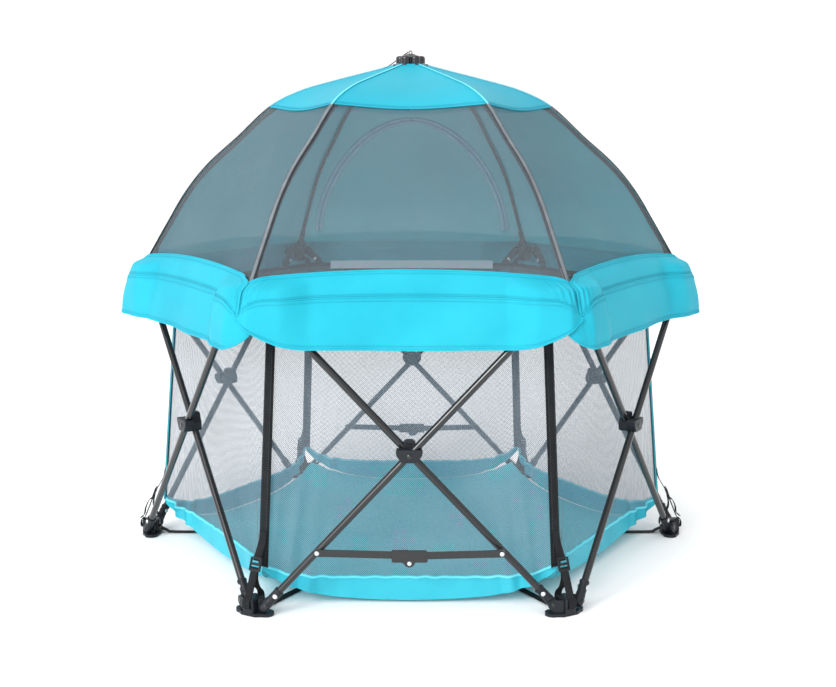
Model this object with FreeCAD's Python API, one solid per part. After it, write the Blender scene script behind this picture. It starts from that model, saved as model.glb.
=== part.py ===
"""Six-panel folding playpen with a domed canopy. Millimetres, Z up, ground at Z 0, front panel facing -Y.

Every wall is one scissor pair of tubes. A panel has its own axes: X along the panel from corner k to
corner k+1, Y into the pen, Z up. An outer tube runs from the low pivot at corner k to the high pivot at
corner k+1, and an inner tube crosses behind it. The two tubes lie on either side of the panel's plane.
"""
import FreeCAD, Part
import math
import os

os.makedirs("parts", exist_ok=True)
V = FreeCAD.Vector

# ---------------------------------------------------------------- named sizes
SIDE = 680.0            # corner to corner of one panel, and the radius of the foot circle
INSET = 34.0            # pivots stand this far from the corner, along the panel
Z_LOW = 24.0            # low pivots
TUBE_LEN = 896.0        # pivot to pivot
TUBE_R = 8.0            # scissor tube, 16 mm outside
TUBE_WALL = 1.2
LAYER = 8.3             # each tube's axis from the panel plane
PIN_R = 2.5
HUB_PIN_R = 3.0
FIT = 0.05              # radial play of a pin in its hole
SLEEVE_R = 10.8         # plastic boots on the tube ends
SLEEVE_LEN = 58.0

RUN = SIDE - 2 * INSET
THETA = math.acos(RUN / TUBE_LEN)                  # tube slope when the pen stands open
Z_HIGH = Z_LOW + TUBE_LEN * math.sin(THETA)        # high pivots
Z_MID = 0.5 * (Z_LOW + Z_HIGH)                     # crossing
FOLD = math.radians(37.0)                          # how far each tube turns as the pen folds

LOCK_T = 163.0          # lock bar pivots, along the tube from its low pivot
LOCK_DROP = 20.0        # the knee pin of the lock bars hangs this far below the end pins
BAR_H = 15.5
BAR_T = 3.8
BAR_GAP = 15.0          # the bars run this far above the knee pin at the latch

RIB_R = 4.5
RIB_FOOT = (651.0, 702.0)                          # radius and height of a rib's pin
RIB_TIP = (30.0, 1176.0)
RIB_PATH = [RIB_FOOT, (644.0, 716.0), (597.5, 793.5), (548.5, 872.0), (492.6, 937.0), (420.0, 1002.0),
            (341.0, 1071.0), (268.0, 1109.0), (182.6, 1135.0), (90.0, 1159.5), RIB_TIP]

CLOTH = 2.0             # thickness of the fabric solids
WALL_APOTHEM = 520.0    # outer face of the fabric walls
WALL_TOP = 652.0
TUB_LOW = 4.0           # the walls' lower edge in the middle of a panel
TUB_CORNER = 85.0       # and at a corner, where a strap pulls it up and out
BUCKLE = (658.0, 106.0)                            # radius and height of the ladder-lock's middle
STRAP_LEAN = 70.0       # degrees that the strap at the buckle slopes down and outwards

CORD_R = 1.3
CORD_AZIMUTH = 150.0    # over the gore behind the left corner
CORD_ROUTE = [(6.9, 1213.0), (70.0, 1176.5), (104.0, 1168.6), (137.0, 1158.4)]      # radius and height
ARC_SHARE = 0.45        # of the shorter run beside a bend, taken up by its arc


# ---------------------------------------------------------------- small helpers
def save(name, *shapes):
    """Writes one node: a single solid, or a group of separate solids."""
    solids = [s for shape in shapes for s in shape.Solids]
    shape = solids[0] if len(solids) == 1 else Part.makeCompound(solids)
    shape.exportStep("parts/%s.step" % name)


def fuse(shapes):
    body = shapes[0].multiFuse(shapes[1:]) if len(shapes) > 1 else shapes[0]
    return body.removeSplitter()


def cylinder(start, end, radius):
    axis = end - start
    return Part.makeCylinder(radius, axis.Length, start, axis)


def box(x0, x1, y0, y1, z0, z1):
    return Part.makeBox(x1 - x0, y1 - y0, z1 - z0, V(x0, y0, z0))


def prism(points, y0, y1):
    """A polygon of (x, z) points, solid from y0 to y1."""
    face = Part.Face(Part.makePolygon([V(x, y0, z) for x, z in points + points[:1]]))
    return face.extrude(V(0, y1 - y0, 0))


def rounded(shape, radius, keep):
    """Rounds the edges that keep() picks, and leaves the shape as it is where a round cannot be made."""
    edges = [e for e in shape.Edges if keep(e)]
    try:
        done = shape.makeFillet(radius, edges)
        return done if done.isValid() and done.Volume > 0 else shape
    except Exception:
        return shape


def lengthwise(axis):
    """Picks straight edges that run along an axis."""
    def test(e):
        if len(e.Vertexes) != 2:
            return False
        run = e.Vertexes[1].Point - e.Vertexes[0].Point
        return run.Length > 1 and abs(run.normalize().dot(axis)) > 0.999
    return test


def turned_profile(points, start, axis):
    """A solid of revolution from (distance along axis, radius) points."""
    outline = [V(r, 0, t) for t, r in points]
    face = Part.Face(Part.makePolygon(outline + outline[:1]))
    solid = face.revolve(V(0, 0, 0), V(0, 0, 1), 360)
    solid.Placement = FreeCAD.Placement(start, FreeCAD.Rotation(V(0, 0, 1), axis))
    return solid


def corner_angle(k):
    return 60.0 * k


def to_panel(shape, k):
    """Moves a shape from panel axes to its place on panel k."""
    a = math.radians(corner_angle(k))
    done = shape.copy()
    spin = FreeCAD.Rotation(V(0, 0, 1), corner_angle(k) + 120.0)
    place = FreeCAD.Placement(V(SIDE * math.cos(a), SIDE * math.sin(a), 0), spin)
    done.Placement = place.multiply(done.Placement)
    return done


def to_corner(shape, k):
    """Moves a shape from corner axes, X outwards from the middle of the pen, to corner k."""
    done = shape.copy()
    spin = FreeCAD.Rotation(V(0, 0, 1), corner_angle(k))
    done.Placement = FreeCAD.Placement(V(0, 0, 0), spin).multiply(done.Placement)
    return done


# ---------------------------------------------------------------- scissor tubes, in panel axes
class Tube:
    """One tube of a panel. The outer one climbs along +X, the inner one is its mirror image."""

    def __init__(self, outer):
        self.y = -LAYER if outer else LAYER
        self.sign = 1 if outer else -1
        self.low = V(INSET if outer else SIDE - INSET, self.y, Z_LOW)
        self.high = V(SIDE - INSET if outer else INSET, self.y, Z_HIGH)
        self.along = (self.high - self.low).normalize()

    def at(self, t):
        return self.low + self.along * t


def cross_pin(point, y0, y1, radius):
    return cylinder(V(point.x, y0, point.z), V(point.x, y1, point.z), radius)


def rivet(point, y0, y1, radius, head_r, head_t=1.5, heads=(True, True)):
    """A rivet along Y with low domed heads outside y0 and y1."""
    parts = [cross_pin(point, y0, y1, radius)]
    for on, y, way in ((heads[0], y0, -1), (heads[1], y1, 1)):
        if on:
            parts.append(turned_profile([(0, 0), (0, head_r), (0.5 * head_t, 0.9 * head_r),
                                         (head_t, 0.5 * head_r), (head_t, 0)],
                                        V(point.x, y, point.z), V(0, way, 0)))
    return fuse(parts)


def locks_on(k):
    return k in (1, 4)


def tube_solids(outer, k):
    t = Tube(outer)
    start, end = t.at(-9), t.at(TUBE_LEN + 9)
    body = cylinder(start, end, TUBE_R).cut(cylinder(start, end, TUBE_R - TUBE_WALL))
    holes = [cross_pin(t.at(0), -40, 40, PIN_R + FIT), cross_pin(t.at(TUBE_LEN), -40, 40, PIN_R + FIT),
             cross_pin(t.at(TUBE_LEN / 2), -40, 40, HUB_PIN_R + FIT)]
    if locks_on(k):
        holes.append(cross_pin(t.at(LOCK_T), -40, 40, PIN_R + FIT))
    return body.cut(Part.makeCompound(holes))


def sleeve(t, at_low):
    """A plastic boot over a tube end, with a flared mouth and a rounded tip."""
    pivot = t.low if at_low else t.high
    way = t.along if at_low else t.along * -1
    tip = pivot - way * 12.0
    n = SLEEVE_LEN
    profile = [(0, 0), (0, 7.6), (1.2, 9.4), (3.6, SLEEVE_R), (24, SLEEVE_R), (30, 10.0), (n - 7, 10.0),
               (n - 5, 10.8), (n - 1.2, 10.8), (n, 9.9), (n, TUBE_R + FIT), (2.7, TUBE_R + FIT), (2.7, 0)]
    body = turned_profile(profile, tip, way)
    return body.cut(cross_pin(pivot, -40, 40, PIN_R + FIT))


def hub_outer(t):
    """The shield-shaped half of the crossing, clamped on the outer tube."""
    c = t.at(TUBE_LEN / 2)
    points = [(-28, 10), (-26, 14), (26, 14), (28, 10), (27, 2), (17.5, -12), (15, -14), (-15, -14),
              (-17.5, -12), (-27, 2)]
    body = prism([(c.x + x, c.z + z) for x, z in points], -21.5, -0.6)
    body = rounded(body, 1.6, lambda e: all(abs(v.Y + 21.5) < 0.01 for v in e.Vertexes))
    body = body.cut(cylinder(t.at(TUBE_LEN / 2 - 60), t.at(TUBE_LEN / 2 + 60), TUBE_R + FIT))
    return body.cut(cross_pin(c, -40, 40, HUB_PIN_R + FIT))


def hub_inner(t):
    """The half clamped on the inner tube, with a lobe that stands up between the tubes."""
    c = t.at(TUBE_LEN / 2)
    points = [(-17, -13), (17, -13), (20, -8), (20, 6), (14, 18), (12, 25), (7, 29), (-7, 29), (-12, 25),
              (-14, 18), (-20, 6), (-20, -8)]
    body = prism([(c.x + x, c.z + z) for x, z in points], 0.6, 21.5)
    body = rounded(body, 1.6, lambda e: all(abs(v.Y - 21.5) < 0.01 for v in e.Vertexes))
    body = body.cut(box(c.x - 6, c.x + 6, -5, 30, c.z + 20.5, c.z + 24))
    body = body.cut(cylinder(t.at(TUBE_LEN / 2 - 60), t.at(TUBE_LEN / 2 + 60), TUBE_R + FIT))
    return body.cut(cross_pin(c, -40, 40, HUB_PIN_R + FIT))


def tube_rivets(outer, k):
    t = Tube(outer)
    s = t.sign
    far = 19.2 * s            # the boot's outer side
    ear = -9.5 * s            # beyond the ear of the corner block
    made = []
    for pivot in (t.low, t.high):
        y0, y1 = sorted((-far, -ear))
        made.append(rivet(pivot, y0, y1, PIN_R, 5.0))
    if outer:
        made.append(rivet(t.at(TUBE_LEN / 2), -21.6, 21.7, HUB_PIN_R, 5.6, 2.0))
    if locks_on(k):
        if outer:
            made.append(rivet(t.at(LOCK_T), -20.8, -0.2, PIN_R, 5.0, heads=(True, False)))
        else:
            made.append(rivet(t.at(LOCK_T), -25.2, 16.4, PIN_R, 5.0))
    return made


def lock_spacer():
    """Holds the inner tube's lock bar clear of the outer tube's one."""
    t = Tube(False)
    p = t.at(LOCK_T)
    body = cross_pin(p, -20.8, 6.0, 6.5)
    body = body.cut(cylinder(t.at(LOCK_T - 40), t.at(LOCK_T + 40), TUBE_R + FIT))
    body = body.cut(box(p.x - 20, p.x + 20, 3.0, 20, p.z - 20, p.z + 20))
    return max(body.cut(cross_pin(p, -40, 40, PIN_R + FIT)).Solids, key=lambda s: s.Volume)


# ---------------------------------------------------------------- lock bars, in panel axes
def lock_bar(outer):
    """One flat bar of the knee lock, with its half of the latch. The inner tube's bar carries the cover."""
    t = Tube(outer)
    end = t.at(LOCK_T)
    y0, y1 = (-20.6, -20.6 + BAR_T) if outer else (-24.8, -24.8 + BAR_T)
    mid = V(SIDE / 2, 0, end.z - LOCK_DROP + BAR_GAP)          # the bar's own centre line at the latch
    s = t.sign
    run = V(mid.x - end.x, 0, mid.z - end.z)
    ux = run.normalize()
    up = V(-ux.z, 0, ux.x) if s > 0 else V(ux.z, 0, -ux.x)
    h = BAR_H / 2
    stop = mid - ux * 2.0
    corners = [end - up * h, stop - up * h, stop + up * h, end + up * h]
    plate = prism([(c.x, c.z) for c in corners], y0, y1)
    plate = fuse([plate, cross_pin(end, y0, y1, h)])
    plate = plate.cut(cross_pin(end, -40, 40, PIN_R + FIT))
    knee = V(SIDE / 2, 0, end.z - LOCK_DROP)
    if outer:
        # a plastic tongue behind the cover takes over from the steel bar and holds the knee
        tongue_start = mid.x - 37
        tongue = prism([(tongue_start, mid.z - 10), (mid.x - 3, mid.z - 10), (mid.x - 3, mid.z + 11.5),
                        (tongue_start, mid.z + 11.5)], y0, y1)
        lobe = prism([(mid.x - 12, mid.z - 10), (mid.x + 7, knee.z - 6), (mid.x - 7, knee.z - 7),
                      (mid.x - 14, knee.z - 2), (mid.x - 20, mid.z - 10)], y0, y1)
        tongue = fuse([tongue, lobe, cross_pin(knee, y0, y1, 7.5)])
        plate = plate.cut(box(tongue_start, SIDE, -40, 0, 0, Z_HIGH))
        return [plate, tongue.cut(cross_pin(knee, -40, 40, PIN_R + 0.3))]
    face = -27.5
    cover = prism([(mid.x - 37.0, mid.z + 9.5), (mid.x - 35.0, mid.z + 13.5), (mid.x + 35.0, mid.z + 13.5),
                   (mid.x + 38.5, mid.z + 9.5), (mid.x + 38.5, mid.z - 11.0), (mid.x + 35.0, mid.z - 13.5),
                   (mid.x - 35.0, mid.z - 13.5), (mid.x - 37.0, mid.z - 11.0)], face, -24.9)
    lobe = cross_pin(V(knee.x, 0, knee.z + 3), face, -24.9, 12.0)
    cover = fuse([cover, lobe])
    cover = rounded(cover, 0.8, lambda e: all(abs(v.Y - face) < 0.01 for v in e.Vertexes))
    pin = rivet(knee, face, -20.9, PIN_R, 4.6, 1.4, (True, False))
    return [plate, cover.cut(cross_pin(knee, -40, 40, PIN_R + FIT)), pin]


# ---------------------------------------------------------------- corner blocks, in corner axes
PANEL_TURN = 120.0      # the panel that leaves a corner, from the outward direction
TIP_REACH = 15.0        # the furthest that a boot's tip comes from its pin, with play


def arm_frame(leaving):
    """Panel axes seen from corner axes: for the panel that leaves this corner, or the one that arrives."""
    if leaving:
        return FreeCAD.Placement(V(SIDE, 0, 0), FreeCAD.Rotation(V(0, 0, 1), PANEL_TURN))
    turn = PANEL_TURN - 60.0
    a = math.radians(-60.0)
    return FreeCAD.Placement(V(SIDE * math.cos(a), SIDE * math.sin(a), 0),
                             FreeCAD.Rotation(V(0, 0, 1), turn))


def ear(leaving, outer, z, reach, z0, z1):
    """A flat ear with a pin hole, beside the boot it carries. reach is how far it runs back to the post."""
    y0, y1 = (3.0, 9.4) if outer else (-9.4, -3.0)
    x_pin, x_back = (INSET, INSET - reach) if leaving else (SIDE - INSET, SIDE - INSET + reach)
    pin = V(x_pin, 0, z)
    x0, x1 = sorted((x_pin, x_back))
    body = fuse([box(x0, x1, y0, y1, z0, z1), cross_pin(pin, y0, y1, 11.0)])
    body = body.cut(cross_pin(pin, -40, 40, PIN_R + FIT))
    body.Placement = arm_frame(leaving).multiply(body.Placement)
    return body


def boot_room(leaving, outer, z):
    """The space that a boot's rounded tip sweeps round its pin, to cut from a corner block."""
    y0, y1 = (-SLEEVE_R - LAYER - 0.5, 3.0) if outer else (-3.0, SLEEVE_R + LAYER + 0.5)
    room = cross_pin(V(INSET if leaving else SIDE - INSET, 0, z), y0, y1, TIP_REACH)
    room.Placement = arm_frame(leaving).multiply(room.Placement)
    return room


def pivot_xy(leaving):
    """Where an arm's pin crosses the panel plane, in corner axes."""
    return arm_frame(leaving).multVec(V(INSET if leaving else SIDE - INSET, 0, 0))


def foot_block():
    """The plastic foot: a base with two lobes under the boots, a post with a strap slot, and two ears."""
    post_x = 664.0
    pieces = [Part.makeCylinder(17.0, 7.0, V(*pivot_xy(w)[:2], 0)) for w in (True, False)]
    outline = [V(688, -18, 0), V(688, 18, 0), V(672, 44, 0), V(652, 40, 0), V(643, 14, 0), V(643, -14, 0),
               V(652, -40, 0), V(672, -44, 0)]
    pieces.append(Part.Face(Part.makePolygon(outline + outline[:1])).extrude(V(0, 0, 7)))
    base = fuse(pieces)
    base = rounded(base, 2.0, lambda e: all(abs(v.Z - 7) < 0.01 for v in e.Vertexes))
    post = box(post_x - 17, 690, -13.5, 13.5, 6.0, 38)
    post = rounded(post, 5.0, lengthwise(V(0, 0, 1)))
    post = rounded(post, 3.0, lambda e: all(abs(v.Z - 38) < 0.01 for v in e.Vertexes))
    arms = ((True, True), (False, False))      # the outer tube leaves a foot and the inner one arrives
    ears = [ear(leaving, outer, Z_LOW, 22.0, 6.0, 35.0) for leaving, outer in arms]
    body = fuse([base, post] + ears)
    for leaving, outer in arms:
        body = body.cut(boot_room(leaving, outer, Z_LOW))
    slot = box(600, 720, -10.8, 10.8, 16.5, 21.5)
    return body.cut(slot)


def buckle():
    """A ladder-lock at the bottom corner of the fabric tub: a frame with two bars."""
    frame = box(-15, 15, -14, 14, -2, 2)
    frame = rounded(frame, 3.0, lengthwise(V(0, 0, 1)))
    for x0, x1 in ((-11, -3.2), (2.6, 10.5)):
        frame = frame.cut(box(x0, x1, -10.8, 10.8, -5, 5))
    tilt = FreeCAD.Rotation(V(0, 1, 0), STRAP_LEAN)
    frame.Placement = FreeCAD.Placement(V(BUCKLE[0], 0, BUCKLE[1]), tilt)
    return frame


def top_block():
    """The upper corner: a slim post between two ears, and a fork on top for the rib."""
    arms = ((True, False), (False, True))      # the inner tube leaves an upper corner, the outer one arrives
    pieces = [box(642, 685, -11, 11, Z_HIGH - 26, Z_HIGH + 12)]
    pieces[0] = rounded(pieces[0], 4.0, lengthwise(V(0, 0, 1)))
    pieces += [ear(leaving, outer, Z_HIGH, 29.0, Z_HIGH - 10, Z_HIGH + 10) for leaving, outer in arms]
    fr, fz = RIB_FOOT
    for side in (-1, 1):
        y0, y1 = sorted((side * 7.4, side * 11.0))
        tab = fuse([box(fr - 8, fr + 8, y0, y1, Z_HIGH + 4, fz),
                    cylinder(V(fr, y0, fz), V(fr, y1, fz), 8.0)])
        pieces.append(tab)
    body = fuse(pieces)
    for leaving, outer in arms:
        body = body.cut(boot_room(leaving, outer, Z_HIGH))
    body = body.cut(cylinder(V(fr, -40, fz), V(fr, 40, fz), PIN_R + FIT))
    return max(body.Solids, key=lambda solid: solid.Volume)


# ---------------------------------------------------------------- canopy ribs and crown, in corner axes
def rib():
    curve = Part.BSplineCurve()
    curve.interpolate([V(r, 0, z) for r, z in RIB_PATH])
    first, last = curve.FirstParameter, curve.LastParameter
    cut0 = curve.parameterAtDistance(16.0, first)
    cut1 = curve.parameterAtDistance(-10.0, last)
    path = Part.Wire(curve.toShape(cut0, cut1))
    start, way = curve.value(cut0), curve.tangent(cut0)[0]
    ring = Part.Wire(Part.makeCircle(RIB_R, start, way))
    rod = path.makePipeShell([ring], True, False)
    fr, fz = RIB_FOOT
    foot = V(fr, 0, fz)
    lower = curve.value(curve.parameterAtDistance(40.0, first))
    boot = fuse([cylinder(foot, lower, 7.0), Part.makeSphere(7.2, foot)])
    boot = boot.common(box(fr - 60, fr + 60, -7.0, 7.0, fz - 60, fz + 60))
    boot = boot.cut(cylinder(foot + V(0, -20, 0), foot + V(0, 20, 0), PIN_R + FIT)).cut(rod)
    pin = cylinder(V(fr, -11.4, fz), V(fr, 11.4, fz), PIN_R)
    heads = [turned_profile([(0, 0), (0, 4.4), (1.4, 2.4), (1.4, 0)], V(fr, 11.2 * s, fz), V(0, s, 0))
             for s in (-1, 1)]
    tr, tz = RIB_TIP
    wedge = [V(tr - 3.5, -5.6, tz - 8), V(tr + 12, -9.5, tz - 8), V(tr + 12, 9.5, tz - 8),
             V(tr - 3.5, 5.6, tz - 8)]
    knuckle = Part.Face(Part.makePolygon(wedge + wedge[:1])).extrude(V(0, 0, 15.5))
    knuckle = rounded(knuckle, 2.0, lengthwise(V(0, 0, 1)))
    knuckle = knuckle.cut(cylinder(V(tr, -20, tz), V(tr, 20, tz), 2.1))
    rod = rod.cut(knuckle)
    if len(rod.Solids) > 1:
        rod = max(rod.Solids, key=lambda s: s.Volume)
    tip_pin = cylinder(V(tr, -5.0, tz), V(tr, 5.0, tz), 2.0)
    return [rod, boot, fuse([pin] + heads), knuckle, tip_pin]


def crown():
    """The six-lobed plastic crown above the rib ends, round on top."""
    z = RIB_TIP[1] + 8.4
    parts = [Part.makeCylinder(25.0, 19.0, V(0, 0, z))]
    for k in range(6):
        a = math.radians(corner_angle(k))
        parts.append(Part.makeCylinder(12.0, 19.0, V(23.5 * math.cos(a), 23.5 * math.sin(a), z)))
    body = fuse(parts)
    body = rounded(body, 6.5, lambda e: all(abs(v.Z - z - 19.0) < 0.01 for v in e.Vertexes))
    dome = turned_profile([(0, 0), (0, 16), (2.5, 14), (5.0, 9), (6.0, 0)], V(0, 0, z + 19.0), V(0, 0, 1))
    return body.fuse(dome).removeSplitter()


def crown_eyelet():
    """A small ring set in the top of the crown, in the upright plane of the draw cord tied to it."""
    a = math.radians(CORD_AZIMUTH)
    ring = Part.makeTorus(4.2, 1.1, V(0, 0, RIB_TIP[1] + 35.4), V(-math.sin(a), math.cos(a), 0))
    return ring.cut(crown())


def runner():
    """A disc hung on a thin stem below the crown."""
    top = RIB_TIP[1] + 8.3
    stem = Part.makeCylinder(2.2, top - 1083.0, V(0, 0, 1083.0))
    disc = turned_profile([(0, 0), (0, 20), (1.5, 22), (5.0, 22), (7.0, 19), (7.0, 0)], V(0, 0, 1080.0),
                          V(0, 0, 1))
    return fuse([stem, disc])


# ---------------------------------------------------------------- fabric, as plain solids
def hexagon(apothem, z):
    r = apothem / math.cos(math.radians(30))
    return [V(r * math.cos(math.radians(60 * k)), r * math.sin(math.radians(60 * k)), z) for k in range(6)]


def wall_panel():
    """One flat fabric wall in panel axes, its lower edge hanging in an arc from corner to corner."""
    y0 = SIDE * math.cos(math.radians(30)) - WALL_APOTHEM
    half = WALL_APOTHEM * math.tan(math.radians(30)) - 3.0
    xm = SIDE / 2
    a, b, c = V(xm - half, y0, TUB_CORNER), V(xm, y0, TUB_LOW), V(xm + half, y0, TUB_CORNER)
    d, e = V(xm + half, y0, WALL_TOP), V(xm - half, y0, WALL_TOP)
    wire = Part.Wire([Part.Arc(a, b, c).toShape(), Part.makeLine(c, d), Part.makeLine(d, e),
                      Part.makeLine(e, a)])
    return Part.Face(wire).extrude(V(0, CLOTH, 0))


def floor_sheet():
    points = hexagon(WALL_APOTHEM - CLOTH - 4.0, TUB_LOW)
    return Part.Face(Part.makePolygon(points + points[:1])).extrude(V(0, 0, 3.0))


def corner_webbing():
    """Black webbing over the corner seam of the tub, in corner axes."""
    r = WALL_APOTHEM / math.cos(math.radians(30))
    return box(r + 0.5, r + 2.5, -9.0, 9.0, 150.0, 640.0)


DOME = [(662.0, 716.0), (607.0, 800.0), (557.5, 879.0), (502.0, 946.0), (430.0, 1010.0), (350.0, 1081.0),
        (272.0, 1120.0), (186.0, 1146.0), (94.0, 1171.0), (52.0, 1181.5)]
CAP_FROM = 5            # the cap covers the dome from this point up
CAP_GAP = 1.5           # left between the cap and the gores below it


def dome_gore(k, low, high):
    """One fabric gore between two ribs, as a thin folded plate, in the pen's axes."""
    a0, a1 = math.radians(60 * k + 0.15), math.radians(60 * k + 59.85)
    profile = DOME[low:high + 1]
    if high == CAP_FROM:
        last = V(profile[-1][0], 0, profile[-1][1])
        back = V(profile[-2][0], 0, profile[-2][1]) - last
        last = last + back.normalize() * CAP_GAP
        profile[-1] = (last.x, last.z)
    plates = []
    for (r0, z0), (r1, z1) in zip(profile, profile[1:]):
        n = V(z1 - z0, 0, r0 - r1).normalize() * CLOTH
        outer, inner = [], []
        for a in (a0, a1):
            for r, z in ((r0, z0), (r1, z1)):
                outer.append(V(r * math.cos(a), r * math.sin(a), z))
                rr, zz = r - n.x, z - n.z
                inner.append(V(rr * math.cos(a), rr * math.sin(a), zz))
        order = (0, 1, 3, 2, 0)
        wires = [Part.makePolygon([ring[i] for i in order]) for ring in (outer, inner)]
        plates.append(Part.makeLoft(wires, True, True))
    return plates


def valance_panel():
    """The skirt of one side in panel axes: a sloping band and a lower flap, open at both corners."""
    face = SIDE * math.cos(math.radians(30))
    path = [(565.0, 738.0), (611.5, 700.0), (625.0, 577.0)]
    inner = [(p - 2.2, z - 1.4) for p, z in path]
    points = [V(0, face - p, z) for p, z in path + inner[::-1]]
    solid = Part.Face(Part.makePolygon(points + points[:1])).extrude(V(SIDE - 44, 0, 0))
    solid.translate(V(22, 0, 0))
    return solid


def strip(points, width, thick):
    """Webbing through (x, z) points, as a group of thin bars joined at round bends, in corner axes."""
    parts = []
    for (x0, z0), (x1, z1) in zip(points, points[1:]):
        run = V(x1 - x0, 0, z1 - z0)
        bar = box(0, run.Length, -width / 2, width / 2, -thick / 2, thick / 2)
        bar.Placement = FreeCAD.Placement(V(x0, 0, z0), FreeCAD.Rotation(V(1, 0, 0), run))
        parts.append(bar)
    for x, z in points[1:-1]:
        parts.append(cylinder(V(x, -width / 2, z), V(x, width / 2, z), thick / 2))
    return fuse(parts)


def foot_strap():
    """The tension strap: from the buckle down over the foot, in through its slot, and back up inside."""
    path = [(664.5, 90.0), (675.0, 62.0), (684.0, 41.0), (692.0, 39.5), (694.0, 24.0), (692.0, 19.0),
            (644.0, 19.0), (641.0, 40.0), (657.0, 88.0)]
    return strip(path, 20.0, 1.6)


def ground_strap():
    """Webbing under the tub from a foot to the middle of the pen."""
    return strip([(641.5, 11.5), (606.0, 2.2), (46.0, 2.2)], 19.0, 1.6)


def arc_path(points, name):
    """Straight runs joined by tangent arcs, as one wire. It prints the radii."""
    edges, start = [], points[0]
    for before, corner, after in zip(points, points[1:], points[2:]):
        back, ahead = before - corner, after - corner
        reach = ARC_SHARE * min(back.Length, ahead.Length)
        back, ahead = back.normalize(), ahead.normalize()
        turn = math.pi - back.getAngle(ahead)
        radius = reach / math.tan(turn / 2)
        enter, leave = corner + back * reach, corner + ahead * reach
        inward = (back + ahead).normalize()
        middle = corner + inward * (radius / math.cos(turn / 2) - radius)
        edges += [Part.LineSegment(start, enter).toShape(), Part.Arc(enter, middle, leave).toShape()]
        start = leave
        print("%s: bend of %.0f mm radius" % (name, radius))
    edges.append(Part.LineSegment(start, points[-1]).toShape())
    return Part.Wire(edges)


def draw_cord():
    """A thin taut cord from the crown's ring down to the cap, and along it to where it is sewn in."""
    a = math.radians(CORD_AZIMUTH)
    out = V(math.cos(a), math.sin(a), 0)
    points = [out * r + V(0, 0, z) for r, z in CORD_ROUTE]
    path = arc_path(points, "draw_cord")
    ring = Part.Wire(Part.makeCircle(CORD_R, points[0], points[1] - points[0]))
    tube = path.makePipeShell([ring], True, False)
    share = tube.Volume / (math.pi * CORD_R ** 2 * path.Length)
    print("draw_cord: volume over section times length is %.4f" % share)
    return tube


def door_arch():
    """The arched zip of the rear door, laid on the rear gore, as short bars of tape."""
    inside = math.cos(math.radians(30))
    middle = math.radians(90.0)
    tape = []
    heights = [(dome_radius(z) * inside + 1.2, z) for z in
               [744.0] + [z for _, z in DOME if 750 < z < 1050] + [1062.0]]
    for side in (-1, 1):
        for (p0, z0), (p1, z1) in zip(heights, heights[1:]):
            w0 = side * door_half_width(z0)
            w1 = side * door_half_width(z1)
            tape.append(tape_bar(middle, p0, w0, z0, p1, w1, z1))
    return tape


def dome_radius(z):
    for (r0, z0), (r1, z1) in zip(DOME, DOME[1:]):
        if z0 <= z <= z1:
            return r0 + (r1 - r0) * (z - z0) / (z1 - z0)


def door_half_width(z):
    share = min(1.0, max(0.0, (z - 749.0) / 313.0))
    return 270.0 * math.sqrt(1 - share ** 1.8) + 6.0


def tape_bar(middle, p0, w0, z0, p1, w1, z1):
    out, side = V(math.cos(middle), math.sin(middle), 0), V(-math.sin(middle), math.cos(middle), 0)
    a = out * p0 + side * w0 + V(0, 0, z0)
    b = out * p1 + side * w1 + V(0, 0, z1)
    normal = V(z1 - z0, 0, p0 - p1).normalize()
    up = out * normal.x + V(0, 0, normal.z)
    run = b - a
    wide = up.cross(run).normalize()
    length = run.Length - 2.0
    bar = box(1.0, 1.0 + length, -11.0, 11.0, 0.6, 2.0)
    across = run.normalize()
    m = FreeCAD.Matrix(across.x, wide.x, up.x, a.x, across.y, wide.y, up.y, a.y,
                       across.z, wide.z, up.z, a.z, 0, 0, 0, 1)
    bar.Placement = FreeCAD.Placement(m)
    return bar


# ---------------------------------------------------------------- write the nodes
def main():
    foot, strap_buckle, top = foot_block(), buckle(), top_block()
    rib_parts = rib()
    for k in range(6):
        for outer, word in ((True, "outer"), (False, "inner")):
            t = Tube(outer)
            tube = tube_solids(outer, k)
            save("tube_%s_%d" % (word, k), *[to_panel(s, k) for s in [tube] + tube_rivets(outer, k)])
            hub = hub_outer(t) if outer else hub_inner(t)
            fittings = [sleeve(t, True), sleeve(t, False), hub]
            if locks_on(k) and not outer:
                fittings.append(lock_spacer())
            save("boots_%s_%d" % (word, k), *[to_panel(s, k) for s in fittings])
        save("foot_%d" % k, to_corner(foot, k), to_corner(strap_buckle, k))
        save("top_corner_%d" % k, to_corner(top, k))
        save("rib_%d" % k, *[to_corner(s, k) for s in rib_parts])
    for k, word in ((4, "front"), (1, "rear")):
        for outer, side in ((True, "a"), (False, "b")):
            save("lock_bar_%s_%s" % (word, side), *[to_panel(s, k) for s in lock_bar(outer)])
    save("crown", crown())
    save("crown_eyelet", crown_eyelet())
    save("runner", runner())
    save("walls", *[to_panel(wall_panel(), k) for k in range(6)])
    save("floor", floor_sheet())
    save("corner_webbing", *[to_corner(corner_webbing(), k) for k in range(6)])
    save("straps", *[to_corner(s, k) for s in (foot_strap(), ground_strap()) for k in range(6)])
    top_point = len(DOME) - 1
    save("canopy_cap", *[p for k in range(6) for p in dome_gore(k, CAP_FROM, top_point)])
    save("canopy_mesh", *[p for k in (3, 4, 5) for p in dome_gore(k, 0, CAP_FROM)])
    save("canopy_back", *[p for k in (0, 1, 2) for p in dome_gore(k, 0, CAP_FROM)])
    save("valance", *[to_panel(valance_panel(), k) for k in range(6)])
    save("door_zip", *door_arch())
    save("draw_cord", draw_cord())


main()
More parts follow.
